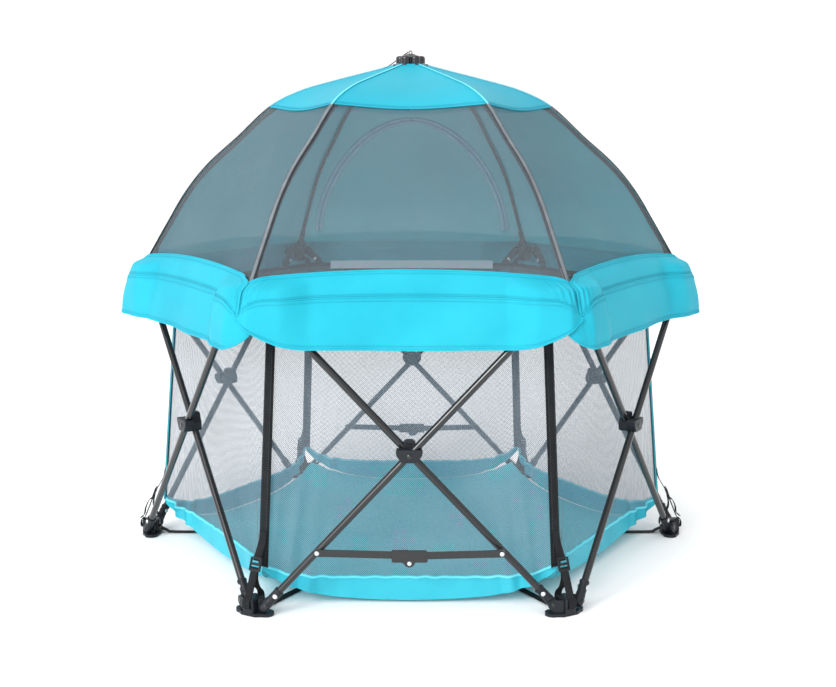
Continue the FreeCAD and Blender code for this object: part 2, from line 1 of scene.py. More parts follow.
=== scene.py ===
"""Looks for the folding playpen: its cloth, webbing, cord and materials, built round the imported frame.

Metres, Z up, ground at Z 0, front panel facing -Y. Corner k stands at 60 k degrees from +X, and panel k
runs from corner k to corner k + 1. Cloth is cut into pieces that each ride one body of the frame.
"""

import math

import bpy
import numpy as np
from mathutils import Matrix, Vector


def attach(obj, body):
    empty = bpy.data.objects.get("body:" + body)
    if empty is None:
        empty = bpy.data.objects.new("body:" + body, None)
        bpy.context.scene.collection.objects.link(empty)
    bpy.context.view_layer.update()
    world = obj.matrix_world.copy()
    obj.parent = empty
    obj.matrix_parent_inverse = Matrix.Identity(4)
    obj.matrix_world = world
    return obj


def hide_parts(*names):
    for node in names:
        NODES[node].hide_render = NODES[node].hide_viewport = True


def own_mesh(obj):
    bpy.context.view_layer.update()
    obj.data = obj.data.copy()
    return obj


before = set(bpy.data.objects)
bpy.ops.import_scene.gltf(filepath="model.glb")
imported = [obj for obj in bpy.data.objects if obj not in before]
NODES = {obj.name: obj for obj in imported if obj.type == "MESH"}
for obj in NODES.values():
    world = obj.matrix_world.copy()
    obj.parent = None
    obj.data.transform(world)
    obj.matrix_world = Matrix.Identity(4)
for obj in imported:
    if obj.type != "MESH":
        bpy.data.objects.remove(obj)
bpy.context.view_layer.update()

# ---------------- driving sizes, as in the frame
SIDE = 0.680            # corner to corner of a panel, and the radius of the foot circle
INSET = 0.034           # pivots from the corner, along the panel
Z_LOW = 0.024
TUBE_LEN = 0.896
LAYER = 0.0083          # a tube's axis from its panel's plane
THETA = math.acos((SIDE - 2 * INSET) / TUBE_LEN)
FOLD = math.radians(37.0)
FOLDED_SIDE = 2 * INSET + TUBE_LEN * math.cos(THETA + FOLD)
FACE = SIDE * math.cos(math.radians(30))       # apothem of the panel planes
TAN30 = math.tan(math.radians(30))

RIB_FOOT = (0.651, 0.702)
RIB_TURN = math.radians(45.0017)
DOME = [(0.6570, 0.7070), (0.6040, 0.7970), (0.5545, 0.8765), (0.4985, 0.9435), (0.4255, 1.0080),
        (0.3460, 1.0800), (0.2715, 1.1180), (0.1855, 1.1430), (0.0920, 1.1665), (0.0600, 1.1748),
        (0.0350, 1.1818)]
CAP_EDGE = 5            # the cap's lower edge is at this point of the dome

WALL_TOP = 0.650
BASE_APOTHEM = 0.515    # the middle of a wall, all the way up
FRONT, REAR = 4, 1


def corner_body(k):
    """The body of foot k."""
    return "base" if k % 6 == 4 else "foot_%d" % (k % 6)


# ---------------- places
def direction(degrees):
    a = math.radians(degrees)
    return np.array([math.cos(a), math.sin(a), 0.0])


def corner_side(k):
    """Square to the upright plane of corner k."""
    return direction(60 * k + 90)


def panel_out(k):
    """Square to panel k, away from the pen's axis."""
    return direction(60 * k + 30)


def panel_way(k):
    """Along panel k, from corner k to corner k + 1."""
    return direction(60 * k + 120)


def side_word(side):
    return "b" if side > 0 else "a"


def run_length(points):
    """The length along a line of points, up to each of them."""
    return np.concatenate([[0.0], np.cumsum(np.linalg.norm(np.diff(points, axis=0), axis=1))])


def unit_rows(vectors):
    return vectors / np.linalg.norm(vectors, axis=1)[:, None]


def at_corner(k, r, z, t=0.0):
    """A point from radius, height and tangential offset, in the upright plane of corner k."""
    return direction(60 * k) * r + corner_side(k) * t + np.array([0, 0, z])


def at_panel(k, x, apothem, z):
    """A point on panel k: x from its middle towards corner k + 1, and its distance from the pen's axis."""
    return panel_out(k) * apothem + panel_way(k) * x + np.array([0, 0, z])


class Curve:
    """A smooth curve through points, read by its length."""

    def __init__(self, points, per=24):
        p = np.array(points, float)
        p = np.vstack([2 * p[0] - p[1], p, 2 * p[-1] - p[-2]])
        t = np.linspace(0, 1, per, endpoint=False)[:, None]
        spans = [0.5 * (2 * b + (c - a) * t + (2 * a - 5 * b + 4 * c - d) * t ** 2
                        + (3 * b - a - 3 * c + d) * t ** 3) for a, b, c, d in zip(p, p[1:], p[2:], p[3:])]
        self.p = np.vstack(spans + [p[-2:-1]])
        self.arc = run_length(self.p)
        self.length = float(self.arc[-1])
        self.knots = [float(self.arc[min(i * per, len(self.arc) - 1)]) for i in range(len(points))]

    def at(self, s):
        return np.array([np.interp(s, self.arc, self.p[:, i]) for i in range(self.p.shape[1])])

    def way(self, s):
        e = 1e-3
        d = self.at(min(s + e, self.length)) - self.at(max(s - e, 0.0))
        return d / np.linalg.norm(d)


# ---------------- meshes
def add_object(name, data):
    obj = bpy.data.objects.new(name, data)
    bpy.context.scene.collection.objects.link(obj)
    return obj


def make_object(name, verts, faces, material, smooth=True):
    mesh = bpy.data.meshes.new(name)
    mesh.from_pydata([tuple(map(float, v)) for v in verts], [], faces)
    mesh.polygons.foreach_set("use_smooth", [smooth] * len(mesh.polygons))
    mesh.materials.append(material)
    mesh.update()
    return add_object(name, mesh)


def grid_faces(rows, cols):
    return [(j * cols + i, j * cols + i + 1, (j + 1) * cols + i + 1, (j + 1) * cols + i)
            for j in range(rows - 1) for i in range(cols - 1)]


def add_flat(obj, flat):
    """Stores each point's place on the flat cloth, in metres, for its weave."""
    data = np.zeros((len(obj.data.vertices), 3), np.float32)
    data[:, :2] = flat
    attribute = obj.data.attributes.new("cloth", "FLOAT_VECTOR", "POINT")
    attribute.data.foreach_set("vector", data.ravel())


def read_flat(obj):
    data = np.zeros(len(obj.data.vertices) * 3, np.float32)
    obj.data.attributes["cloth"].data.foreach_get("vector", data)
    return data.reshape(-1, 3)[:, :2]


def surface(name, f, us, vs, material, flat):
    """A grid over f(u, v). Its normals are the true surface's, so neighbouring pieces shade as one."""
    verts, normals, places = [], [], []
    e = 1e-4
    facing = np.sign((us[-1] - us[0]) * (vs[-1] - vs[0]))
    for v in vs:
        for u in us:
            verts.append(f(u, v))
            n = np.cross(f(u + e, v) - f(u - e, v), f(u, v + e) - f(u, v - e))
            normals.append(n * facing / max(np.linalg.norm(n), 1e-12))
            places.append(flat(u, v))
    obj = make_object(name, verts, grid_faces(len(vs), len(us)), material)
    obj.data.normals_split_custom_set_from_vertices([tuple(map(float, n)) for n in normals])
    add_flat(obj, np.array(places))
    return obj


def swept(name, points, across, section, material):
    """A section of (sideways, upwards) points swept along a line. across is its sideways direction."""
    p = np.array(points, float)
    across = np.array(across, float)
    ways = unit_rows(np.gradient(p, axis=0))
    sides = unit_rows(np.array([across - way * np.dot(across, way) for way in ways]))
    ups = np.cross(ways, sides)
    n = len(section)
    verts = [p[i] + sides[i] * a + ups[i] * b for i in range(len(p)) for a, b in section]
    faces = [(i * n + j, i * n + (j + 1) % n, (i + 1) * n + (j + 1) % n, (i + 1) * n + j)
             for i in range(len(p) - 1) for j in range(n)]
    faces += [tuple(range(n))[::-1], tuple(range((len(p) - 1) * n, len(p) * n))]
    obj = make_object(name, verts, faces, material)
    run = run_length(p)
    add_flat(obj, np.array([(a, run[i]) for i in range(len(p)) for a, b in section]))
    return obj


def strap_section(width, thick):
    """A webbing's section, a little thinner at its woven edges."""
    a, b = width / 2, thick / 2
    return [(-a, -0.3 * b), (-0.9 * a, -b), (0.9 * a, -b), (a, -0.3 * b),
            (a, 0.3 * b), (0.9 * a, b), (-0.9 * a, b), (-a, 0.3 * b)]


def round_section(radius, sides=8):
    return [(radius * math.cos(2 * math.pi * i / sides), radius * math.sin(2 * math.pi * i / sides))
            for i in range(sides)]


def joined(name, objects):
    """Joins meshes that share a material and keep their cloth attribute."""
    verts, faces, flats = [], [], []
    for o in objects:
        base = len(verts)
        verts += [v.co.copy() for v in o.data.vertices]
        faces += [tuple(base + i for i in p.vertices) for p in o.data.polygons]
        flats.append(read_flat(o))
    made = make_object(name, verts, faces, objects[0].data.materials[0])
    add_flat(made, np.vstack(flats))
    for o in objects:
        bpy.data.objects.remove(o)
    return made


STITCH, GAP, THREAD = 0.0036, 0.0020, 0.00042
STITCH_LIFT = 0.0006    # the middle of a stitch, off the cloth


def stitch_line(name, line, outward, material):
    """A row of stitches laid along a line of points on a cloth that faces outward."""
    p = np.array(line, float)
    run = run_length(p)
    up = outward / np.linalg.norm(outward)

    def read(s):
        return np.array([np.interp(s, run, p[:, i]) for i in range(3)])

    verts, faces = [], []
    for start in np.arange(GAP, run[-1] - STITCH, STITCH + GAP):
        a, b = read(start), read(start + STITCH)
        way = (b - a) / np.linalg.norm(b - a)
        side = np.cross(way, up)
        middle = (a + b) / 2 + up * (STITCH_LIFT + THREAD)
        base = len(verts)
        verts += [a - up * THREAD, middle - way * STITCH * 0.3 + side * THREAD, middle - way * STITCH * 0.3
                  - side * THREAD, middle + way * STITCH * 0.3 + side * THREAD,
                  middle + way * STITCH * 0.3 - side * THREAD, b - up * THREAD]
        faces += [(base, base + 1, base + 2), (base + 1, base + 3, base + 4, base + 2),
                  (base + 5, base + 4, base + 3), (base, base + 3, base + 1), (base, base + 5, base + 3),
                  (base, base + 2, base + 4), (base, base + 4, base + 5)]
    obj = make_object(name, verts, faces, material)
    add_flat(obj, np.zeros((len(verts), 2)))
    return obj


# ---------------- materials
def node(tree, kind, inputs=None, **settings):
    made = tree.nodes.new(kind)
    for key, value in settings.items():
        setattr(made, key, value)
    for key, value in (inputs or {}).items():
        if isinstance(value, bpy.types.NodeSocket):
            tree.links.new(value, made.inputs[key])
        else:
            made.inputs[key].default_value = value
    return made


def maths(tree, operation, a, b=0.0, clamp=False):
    return node(tree, "ShaderNodeMath", {0: a, 1: b}, operation=operation, use_clamp=clamp).outputs[0]


def start_material(name, roughness, **sockets):
    mat = bpy.data.materials.new(name)
    mat.use_nodes = True
    tree = mat.node_tree
    shader = tree.nodes["Principled BSDF"]
    shader.inputs["Roughness"].default_value = roughness
    for key, value in sockets.items():
        shader.inputs[key.replace("_", " ")].default_value = value
    return mat, tree, shader


def colour(r, g, b):
    """A linear colour from an sRGB one on the 0 to 255 scale."""
    def channel(c):
        c /= 255.0
        return c / 12.92 if c <= 0.04045 else ((c + 0.055) / 1.055) ** 2.4
    return (channel(r), channel(g), channel(b), 1.0)


def object_place(tree):
    return node(tree, "ShaderNodeTexCoord").outputs["Object"]


def cloth_place(tree):
    return node(tree, "ShaderNodeAttribute", attribute_name="cloth").outputs["Vector"]


def noise(tree, where, scale, detail=3.0):
    made = node(tree, "ShaderNodeTexNoise", {"Vector": where, "Scale": scale, "Detail": detail,
                                              "Roughness": 0.55})
    return made.outputs["Fac"]


def paint(tree, shader, fac, low, high):
    """Mixes two colours by a factor into the base colour."""
    made = node(tree, "ShaderNodeMix", data_type="RGBA")
    tree.links.new(fac, made.inputs[0])
    made.inputs[6].default_value = low
    made.inputs[7].default_value = high
    tree.links.new(made.outputs[2], shader.inputs["Base Color"])


def spread(tree, value, low, high, to_low=0.0, to_high=1.0):
    made = node(tree, "ShaderNodeMapRange", {"Value": value, "From Min": low, "From Max": high,
                                              "To Min": to_low, "To Max": to_high})
    return made.outputs[0]


def bump(tree, shader, height, distance, strength):
    made = node(tree, "ShaderNodeBump", {"Height": height, "Distance": distance, "Strength": strength})
    tree.links.new(made.outputs[0], shader.inputs["Normal"])


def waves(tree, where, pitch_u, pitch_v):
    """cos(u) cos(v) over the flat cloth: +1 and -1 on a chequer of threads."""
    parts = node(tree, "ShaderNodeSeparateXYZ", {0: where})
    u = maths(tree, "COSINE", maths(tree, "MULTIPLY", parts.outputs[0], 2 * math.pi / pitch_u))
    v = maths(tree, "COSINE", maths(tree, "MULTIPLY", parts.outputs[1], 2 * math.pi / pitch_v))
    return maths(tree, "MULTIPLY", u, v)


def hard_material(name, low, high, roughness, grain_scale, grain_depth, **sockets):
    """Moulded plastic or painted steel: cloudy colour, fine grain, uneven gloss."""
    mat, tree, shader = start_material(name, roughness, **sockets)
    where = object_place(tree)
    cloud = noise(tree, where, 14.0)
    paint(tree, shader, cloud, low, high)
    rough = spread(tree, noise(tree, where, 60.0), 0.3, 0.7, roughness * 0.85, roughness * 1.2)
    tree.links.new(rough, shader.inputs["Roughness"])
    bump(tree, shader, noise(tree, where, grain_scale, 2.0), grain_depth, 0.6)
    return mat


def woven_material(name, low, high, roughness, pitch, depth, cloud_scale=5.0, **sockets):
    """Plain woven cloth with a soft unevenness of shade and a fine chequer of threads."""
    mat, tree, shader = start_material(name, roughness, **sockets)
    flat = cloth_place(tree)
    weave = waves(tree, flat, pitch, pitch)
    cloud = spread(tree, noise(tree, object_place(tree), cloud_scale, 4.0), 0.3, 0.7)
    shade = maths(tree, "ADD", maths(tree, "MULTIPLY", cloud, 0.8),
                  maths(tree, "MULTIPLY", weave, 0.12), True)
    paint(tree, shader, shade, low, high)
    soft = noise(tree, object_place(tree), 45.0)
    height = maths(tree, "ADD", maths(tree, "MULTIPLY", weave, 0.35), maths(tree, "MULTIPLY", soft, 1.3))
    bump(tree, shader, height, depth, 0.7)
    return mat


def net_material(name, low, high, pitch, thread_alpha, hole_alpha, edge):
    """A knitted net: threads with open holes between them, in step with the flat cloth."""
    mat, tree, shader = start_material(name, 0.75)
    weave = waves(tree, cloth_place(tree), pitch, pitch)
    hole = spread(tree, weave, edge - 0.25, edge + 0.25)
    alpha = maths(tree, "ADD", maths(tree, "MULTIPLY", hole, hole_alpha - thread_alpha), thread_alpha)
    cloud = noise(tree, object_place(tree), 4.0)
    alpha = maths(tree, "ADD", alpha, spread(tree, cloud, 0.3, 0.7, -0.03, 0.03), True)
    tree.links.new(alpha, shader.inputs["Alpha"])
    paint(tree, shader, cloud, low, high)
    bump(tree, shader, weave, 0.0002, 0.5)
    return mat


def webbing_material(name, low, high):
    """Woven webbing: ribs along it, and short cross threads."""
    mat, tree, shader = start_material(name, 0.75, Specular_IOR_Level=0.25)
    flat = cloth_place(tree)
    weave = waves(tree, flat, 0.0026, 0.0022)
    shade = maths(tree, "ADD", maths(tree, "MULTIPLY", weave, 0.45),
                  spread(tree, noise(tree, object_place(tree), 30.0), 0.3, 0.7, 0.2, 0.7), True)
    paint(tree, shader, shade, low, high)
    bump(tree, shader, weave, 0.0005, 0.8)
    return mat


TUBE_PAINT = hard_material("tube_powder_coat", colour(12, 14, 17), colour(20, 22, 26), 0.20, 900.0, 0.00003,
                           Specular_IOR_Level=0.40, Coat_Weight=0.5, Coat_Roughness=0.12)
PLASTIC = hard_material("moulded_plastic", colour(20, 23, 28), colour(30, 34, 40), 0.42, 1400.0, 0.00006,
                        Specular_IOR_Level=0.30)
CROWN_PLASTIC = hard_material("crown_plastic", colour(12, 13, 18), colour(24, 26, 34), 0.16, 700.0, 0.00003,
                              Specular_IOR_Level=0.4, Coat_Weight=0.5, Coat_Roughness=0.08)
ROD_PAINT = hard_material("rod_paint", colour(40, 44, 50), colour(58, 62, 68), 0.4, 900.0, 0.00003)
STEEL = hard_material("bright_steel", colour(205, 208, 212), colour(232, 234, 236), 0.24, 300.0, 0.00003,
                      Metallic=1.0)
CYAN_CLOTH = woven_material("cyan_skirt_cloth", colour(10, 162, 186), colour(34, 180, 200), 0.55, 0.0013,
                            0.0007, Specular_IOR_Level=0.25)
CYAN_CAP = woven_material("cyan_cap_cloth", colour(6, 152, 176), colour(24, 168, 190), 0.5, 0.0013, 0.0005,
                          cloud_scale=3.0, Specular_IOR_Level=0.3)
CYAN_BACK = woven_material("cyan_back_cloth", colour(24, 176, 196), colour(50, 196, 212), 0.6, 0.0013, 0.0006,
                           Specular_IOR_Level=0.3, Alpha=0.94)
CYAN_BASE = woven_material("cyan_base_cloth", colour(14, 172, 196), colour(44, 196, 214), 0.42, 0.0015,
                           0.0009, cloud_scale=9.0, Coat_Weight=0.15, Coat_Roughness=0.3)
# The floor cloth: its own cyan, made lighter than the other cyan cloths as painted light, for the light that
# reaches the shaded floor through the net.
CYAN_FLOOR_PAINTED_LIGHT = woven_material("cyan_floor_cloth_painted_light", colour(60, 206, 226), colour(92, 218, 234), 0.55, 0.0015,
                            0.0009, cloud_scale=6.0)
CYAN_PIPING = woven_material("cyan_piping", colour(14, 130, 150), colour(40, 180, 200), 0.5, 0.0012, 0.0003)
THREAD_CYAN = woven_material("cyan_thread", colour(10, 132, 160), colour(20, 150, 178), 0.6, 0.001, 0.0001)
SEAM_CYAN = woven_material("cyan_seam_tape", colour(76, 204, 224), colour(112, 218, 234), 0.6, 0.0012,
                           0.0004)
WALL_NET = net_material("wall_net", colour(108, 120, 131), colour(132, 143, 153), 0.0044, 0.60, 0.10, 0.12)
CANOPY_NET = net_material("canopy_net", colour(82, 92, 99), colour(100, 110, 116), 0.0019, 0.60, 0.40, 0.0)
BINDING = webbing_material("grey_binding", colour(96, 103, 109), colour(136, 143, 149))
BINDING_EDGE = webbing_material("dark_binding", colour(48, 53, 58), colour(74, 80, 86))
WEBBING = webbing_material("black_webbing", colour(10, 12, 15), colour(36, 39, 43))
ZIP_TAPE = webbing_material("zip_tape", colour(158, 204, 230), colour(190, 222, 240))
ZIP_COIL = hard_material("zip_coil", colour(104, 152, 184), colour(128, 172, 200), 0.5, 600.0, 0.0001)
SILL = webbing_material("light_sill", colour(206, 222, 232), colour(228, 238, 244))
CORD = webbing_material("braided_cord", colour(34, 36, 40), colour(84, 86, 90))


def dress_cad_nodes():
    """Gives every CAD node that stays its own material."""
    for name, obj in NODES.items():
        if name.startswith(("tube_", "lock_bar")):
            look = TUBE_PAINT
        elif name.startswith("rib_"):
            look = ROD_PAINT
        elif name in ("crown", "crown_eyelet"):
            look = CROWN_PLASTIC
        else:
            look = PLASTIC
        obj.data.materials.clear()
        obj.data.materials.append(look)


# ---------------- riding, and the flat size of cloth pieces
def ride(obj, body):
    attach(obj, body)


def ride_and_gather(obj, body, axis, anchor, keep):
    """obj rides a body; it does not gather as the pen folds, and axis, anchor and keep are not used."""
    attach(obj, body)
    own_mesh(obj)


def mesh_area(obj):
    return sum(p.area for p in obj.data.polygons)


def declare_sheet(obj):
    """Works out a cloth piece's flat size from its cloth coordinates; the size is not kept or declared."""
    flat = read_flat(obj)
    width, length = map(float, flat.max(0) - flat.min(0))
    area = mesh_area(obj)
    if width * length < area:
        grow = math.sqrt(area / (width * length)) * 1.001
        width, length = width * grow, length * grow


PANEL_KEEP = FOLDED_SIDE / SIDE         # how much of its width a piece keeps when folded
WALL_INSET = 0.02                       # from the frame's corner to the wall's, along the panel
WALL_KEEP = (FOLDED_SIDE - 2 * WALL_INSET) / (SIDE - 2 * WALL_INSET)


# ---------------- the tub: walls, base band, floor
SIDE_LIFT = {3: 0.020, 5: 0.020}        # how much higher the base hangs at these panels
HALF_WALL = 0.31


def seam_radius(z):
    """The corner seam leans out towards its foot, where the strap pulls it."""
    return 0.638 - 0.083 * z


def corner_gap(s):
    """Distance along the panel from the nearest corner, for s from -1 to 1 across the wall."""
    return (1 - abs(s)) * HALF_WALL


def base_lift(k, d):
    return SIDE_LIFT.get(k, 0.0) * min(1.0, d / 0.12)


def base_low(k, s):
    """The base band's lower edge, which the straps pull up at the corners."""
    d = corner_gap(s)
    return 0.0052 + 0.080 * math.exp(-d / 0.075) + base_lift(k, d)


def base_high(k, s):
    """The seam between the base band and the net."""
    d = corner_gap(s)
    return 0.0590 + 0.040 * math.exp(-d / 0.045) + base_lift(k, d) + 0.0007 * math.sin(37 * s + k)


def wall_place(k, s, z):
    """The wall's surface. s is -1 at corner k and 1 at corner k + 1."""
    r = seam_radius(z)
    corner_apothem = r * math.cos(math.radians(30))
    near = abs(s) ** 4
    apothem = BASE_APOTHEM + (corner_apothem - BASE_APOTHEM) * near
    d = corner_gap(s)
    low = math.exp(-((z - 0.06) / 0.22) ** 2)
    fold = math.exp(-((d - 0.06) / 0.05) ** 2) * low
    ripple = 0.0060 * fold * math.cos(2 * math.pi * (d - 0.10 * z) / 0.046)
    slack = 0.0025 * math.sin(5.1 * s + 1.3 * k) * math.sin(math.pi * z / WALL_TOP) * (1 - near)
    return at_panel(k, s * r / 2, apothem + ripple + slack, z)


def tub_ride(obj, k):
    corner = at_corner(k, SIDE - 2 * WALL_INSET, 0.0)
    ride_and_gather(obj, corner_body(k), panel_way(k), corner, WALL_KEEP)


def tub_piece(name, k, low, high, s_steps, v_steps, material, out=0.0):
    """A strip of the wall between two height functions, pushed out a little."""
    def place(s, v):
        z = low(s) + (high(s) - low(s)) * v
        return wall_place(k, s, z) + panel_out(k) * out

    def flat(s, v):
        return (s * HALF_WALL, low(s) + (high(s) - low(s)) * v)

    obj = surface(name, place, np.linspace(-1, 1, s_steps), np.linspace(0, 1, v_steps), material, flat)
    tub_ride(obj, k)
    return obj


SILL_TRIM = 0.20        # how much shorter than the wall the light strip inside the rear wall is


def build_tub():
    for k in range(6):
        net = tub_piece("wall_net_%d" % k, k, lambda s: base_high(k, s) - 0.003, lambda s: WALL_TOP - 0.010,
                        97, 49, WALL_NET)
        declare_sheet(net)
        if k == 0:
            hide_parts("walls")
        band = tub_piece("base_band_%d" % k, k, lambda s: base_low(k, s), lambda s: base_high(k, s),
                         97, 9, CYAN_BASE, 0.0012)
        declare_sheet(band)
        tub_piece("top_binding_%d" % k, k, lambda s: WALL_TOP - 0.022, lambda s: WALL_TOP, 65, 5, WEBBING,
                  0.0015)
        rolled = [wall_place(k, s, base_high(k, s) + 0.0006 * math.sin(53 * s + 2 * k))
                  + panel_out(k) * (0.0016 + 0.0008 * math.sin(61 * s + k))
                  for s in np.linspace(-0.985, 0.985, 161)]
        roll = swept("base_seam_%d" % k, rolled, (0, 0, 1), round_section(0.0034), SEAM_CYAN)
        tub_ride(roll, k)
        for row, drop in enumerate((0.004, 0.018)):
            line = [wall_place(k, s, WALL_TOP - drop) + panel_out(k) * 0.0016
                    for s in np.linspace(-0.98, 0.98, 40)]
            stitch = stitch_line("binding_stitch_%d_%d" % (k, row), line, panel_out(k), BINDING)
            tub_ride(stitch, k)
    sill = tub_piece("door_sill", REAR, lambda s: 0.634, lambda s: 0.657, 33, 3, SILL, -0.0045)
    way = Vector(panel_way(REAR))
    for v in sill.data.vertices:
        v.co -= way * way.dot(v.co) * SILL_TRIM


FLOOR_HOME = 0.560      # where the floor's slivers fan out from, on the front left foot's line
FLOOR_APOTHEM = 0.5125  # just inside the walls
FLOOR_Z = 0.0050
TUB_INSET = 0.050       # from a foot to the tub's corner
FLOOR_KEEP = (2 * FOLDED_SIDE - TUB_INSET - (SIDE - FLOOR_HOME)) / (FLOOR_HOME + SIDE - TUB_INSET)

FAN = np.radians(np.concatenate([np.linspace(-12.0, 132.0, 49), np.linspace(132.0, 348.0, 9)[1:]]))
SPOKES = 7              # bearings across a sliver
MIN_WIDTH, MEAN_SHARE, MIN_SHARE = 0.0101, 0.6, 0.301     # of a sliver as a sheet


def tub_edge(angle):
    """The tub's lower edge at an angle from +X: radius and height."""
    k = int(angle // 60) % 6
    local = math.radians(angle % 60 - 30)
    s = math.tan(local) / TAN30
    z = base_low(k, s)
    p = wall_place(k, s, z)
    return math.hypot(p[0], p[1]), z


def floor_place(x, y):
    """The floor's height: flat in the middle, rising to the tub's lower edge."""
    angle = math.degrees(math.atan2(y, x)) % 360
    r_edge, z_edge = tub_edge(angle)
    share = min(1.0, math.hypot(x, y) / r_edge)
    return FLOOR_Z + (z_edge - FLOOR_Z) * max(0.0, (share - 0.60) / 0.40) ** 2.2


def build_floor():
    """The floor in slivers that fan out from the front left foot."""
    home = direction(240) * FLOOR_HOME
    edge = np.array([direction(a)[:2] * FLOOR_APOTHEM / math.cos(math.radians(a % 60 - 30))
                     for a in np.arange(0.0, 360.0, 1.0)])

    def reach(bearing):
        """How far the floor goes from its home: to the first crossing of its edge."""
        way = np.array([math.cos(bearing), math.sin(bearing)])
        p, q = edge - home[:2], np.roll(edge, -1, axis=0) - edge
        cross = way[0] * q[:, 1] - way[1] * q[:, 0]
        with np.errstate(divide="ignore", invalid="ignore"):
            t = (p[:, 0] * q[:, 1] - p[:, 1] * q[:, 0]) / cross
            u = (p[:, 0] * way[1] - p[:, 1] * way[0]) / cross
        good = (t > 1e-6) & (u >= -1e-9) & (u <= 1 + 1e-9)
        return float(t[good].min())

    for i, (b0, b1) in enumerate(zip(FAN, FAN[1:])):
        spokes = np.linspace(b0, b1, SPOKES)
        reaches = [reach(b) for b in spokes]

        def place(u, v, spokes=spokes, reaches=reaches):
            t = np.linspace(0, 1, SPOKES)
            b, length = np.interp(u, t, spokes), np.interp(u, t, reaches)
            x = home[0] + v * length * math.cos(b)
            y = home[1] + v * length * math.sin(b)
            return np.array([x, y, floor_place(x, y)])

        obj = surface("floor_sliver_%02d" % i, place, np.linspace(0, 1, SPOKES),
                      np.linspace(0.002, 1, 40), CYAN_FLOOR_PAINTED_LIGHT, lambda u, v: tuple(place(u, v)[:2]))
        middle = (b0 + b1) / 2
        ride_and_gather(obj, "base", (math.cos(middle), math.sin(middle), 0), (*home[:2], 0), FLOOR_KEEP)
        area, length = mesh_area(obj), max(reaches)
        width = max(MIN_WIDTH, area / (MEAN_SHARE * length))
        max(area, MIN_SHARE * width * length)
        if i == 0:
            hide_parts("floor")


# ---------------- webbing and straps
def corner_line(k, z0, z1, steps, out=0.0, aside=0.0):
    return [at_corner(k, seam_radius(z) + out, z, aside) for z in np.linspace(z0, z1, steps)]


STRAP_W = 0.019


def build_corner_webbing():
    for k in range(6):
        tangent = corner_side(k)
        body = corner_body(k)
        web = swept("corner_webbing_%d" % k, corner_line(k, 0.094, WALL_TOP, 40, 0.0026), tangent,
                    strap_section(STRAP_W, 0.0016), WEBBING)
        ride(web, body)
        if k == 0:
            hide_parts("corner_webbing")
        for side in (-1, 1):
            line = corner_line(k, 0.092, WALL_TOP, 40, 0.0006, side * 0.0104)
            pipe = swept("corner_piping_%d%s" % (k, side_word(side)), line, tangent,
                         round_section(0.0018, 10), CYAN_PIPING if k in (0, 3) else WEBBING)
            ride(pipe, body)
            edge = corner_line(k, 0.10, WALL_TOP - 0.01, 30, 0.0034, side * 0.0072)
            stitch = stitch_line("webbing_stitch_%d%s" % (k, side_word(side)), edge, direction(60 * k),
                                 BINDING_EDGE)
            ride(stitch, body)


# lines in a corner's upright plane: radius, height and, for the tail, how far it swings sideways
UPPER_STRAP = [(seam_radius(0.172) + 0.0044, 0.172), (0.6330, 0.150), (0.6452, 0.128), (0.6545, 0.1125)]
LOWER_STRAP = [(0.6605, 0.1010), (0.6655, 0.0880), (0.6760, 0.0620), (0.6850, 0.0420), (0.6925, 0.0375),
               (0.6950, 0.0280), (0.6935, 0.0200), (0.6860, 0.0190), (0.6640, 0.0190)]
BACK_STRAP = [(0.6640, 0.0190), (0.6450, 0.0195), (0.6400, 0.0270), (0.6430, 0.0430), (0.6560, 0.0580),
              (0.6620, 0.0780), (0.6585, 0.0985)]
GROUND_STRAP = [(0.6440, 0.0145), (0.6300, 0.0080), (0.6060, 0.0030), (0.3500, 0.0022), (0.0460, 0.0022)]
TOP_LOOP = [(0.6415, 0.662), (0.6250, 0.664), (0.6050, 0.656), (seam_radius(WALL_TOP) + 0.0042, 0.640),
            (seam_radius(0.62) + 0.0042, 0.620)]


def strap(name, k, points, steps, width=STRAP_W):
    curve = Curve(points)
    line = [at_corner(k, *curve.at(s)) for s in np.linspace(0, curve.length, steps)]
    return swept("%s_%d" % (name, k), line, corner_side(k), strap_section(width, 0.0015), WEBBING)


def build_straps():
    """At each foot: the strap from the tub's corner through the buckle and round the foot, and its tail."""
    for k in range(6):
        body = corner_body(k)
        for word, points, steps in (("upper", UPPER_STRAP, 20), ("lower", LOWER_STRAP, 40),
                                    ("back", BACK_STRAP, 30)):
            piece = strap("strap_" + word, k, points, steps)
            ride(piece, body)
            if k == 0 and word == "upper":
                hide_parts("straps")
        if k in (0, 2, 3):
            swing = 0.006 * math.sin(2.3 * k + 1.0)
            tail = [(0.6600, 0.0960, 0.0), (0.6720, 0.0880, 0.001), (0.6805, 0.0700, swing),
                    (0.6840, 0.0520, 1.6 * swing), (0.6935, 0.0440, 1.9 * swing)]
            ride(strap("strap_tail", k, tail, 28), body)
        ride_and_gather(strap("ground_strap", k, GROUND_STRAP, 40), body, direction(60 * k),
                        at_corner(k, SIDE, 0.0), PANEL_KEEP)
        ride(strap("top_loop", k, TOP_LOOP, 24, 0.016), "top_%d" % k)


# ---------------- the canopy
PROFILE = Curve(DOME)
CAP_ARC = PROFILE.knots[CAP_EDGE]


def gore_place(k, side, w_share, arc, out=0.0):
    """The canopy's surface beside rib k. w_share is 0 on the rib and 1 in the middle of the gore."""
    rho, z = PROFILE.at(arc)
    way = PROFILE.way(arc)
    bow = 0.010 * math.sin(math.pi * min(max(arc / PROFILE.length, 0.0), 1.0)) ** 0.7
    bow *= math.sin(math.pi * w_share / 2)
    near = direction(60 * k) * rho
    far = direction(60 * (k + side)) * rho
    p = near + (far - near) * w_share / 2 + np.array([0, 0, z])
    middle = direction(60 * k + 30 * side)
    normal = middle * way[1] + np.array([0, 0, -way[0]])
    normal /= np.linalg.norm(normal)
    return p + normal * (out - bow)


